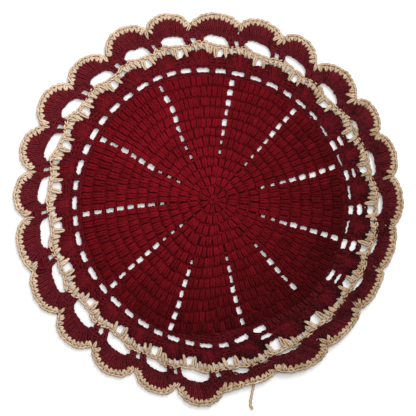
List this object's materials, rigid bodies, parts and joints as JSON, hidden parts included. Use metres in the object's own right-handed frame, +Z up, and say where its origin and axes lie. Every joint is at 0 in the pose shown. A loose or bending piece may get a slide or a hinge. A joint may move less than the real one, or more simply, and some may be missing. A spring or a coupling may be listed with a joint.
{
  "type": "crochet coaster",
  "caption": "Round flat crochet mat in burgundy yarn with lines of eyelets, a ring of small fans, a scalloped ring of larger fans and two beige edgings.",
  "frame": {"origin": "middle of the mat's bounding box, without the loose yarn tail, on the table", "axes": "+Z up through the thickness, +Y towards the far edge as it lies in the picture, +X to the right"},
  "size_m": [0.3116, 0.3182, 0.0074],
  "materials": {
    "burgundy_yarn": "matte twisted cotton yarn, deep burgundy",
    "beige_yarn": "matte twisted cotton yarn, warm beige"
  },
  "bodies": {
    "root": {"centre_mat": "burgundy_yarn", "inner_edging": "beige_yarn", "outer_fan_ring": "burgundy_yarn", "outer_edging": "beige_yarn", "yarn_tail": "beige_yarn"}
  },
  "joints": []
}
